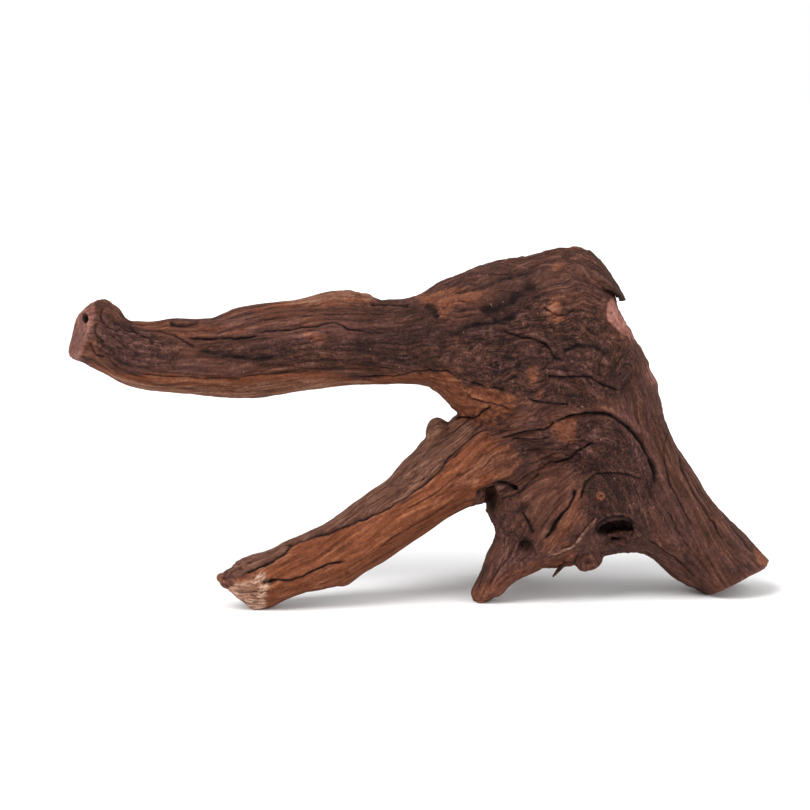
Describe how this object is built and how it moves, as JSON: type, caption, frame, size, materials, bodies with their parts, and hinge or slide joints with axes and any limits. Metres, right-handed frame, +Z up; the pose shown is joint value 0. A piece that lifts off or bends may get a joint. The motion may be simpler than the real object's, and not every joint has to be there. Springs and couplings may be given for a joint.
{
  "type": "river root driftwood",
  "caption": "Weathered river root driftwood with a long hooked upper limb, a slanting lower limb, a left foot and a broad right leg under a knobbly crown.",
  "frame": {"origin": "middle of the footprint box, on the surface that the driftwood rests on", "axes": "+Z up, +X along the longest side from the hooked end of the upper limb to the right foot, -Y the front"},
  "size_m": [0.35, 0.0998, 0.1772],
  "materials": {
    "root_wood": "matte, fibrous, water-worn",
    "crust": "matte, dark, crumbly",
    "fibrous_bark": "matte, grey-brown, fibrous",
    "knot": "matte, orange end grain",
    "strand": "matte, pale, stringy"
  },
  "bodies": {
    "root": {"root_wood": "root_wood", "hook_bark": "crust", "upper_limb_bark": "crust", "crown_top_bark": "crust", "crown_bark": "crust", "belly_bark": "crust", "right_leg_bark": "crust", "lower_limb_bark": "fibrous_bark", "rear_bark": "crust", "crown_flap": "crust", "pin_knot": "knot", "belly_splinter": "strand", "hollow_rootlet": "strand"}
  },
  "joints": []
}
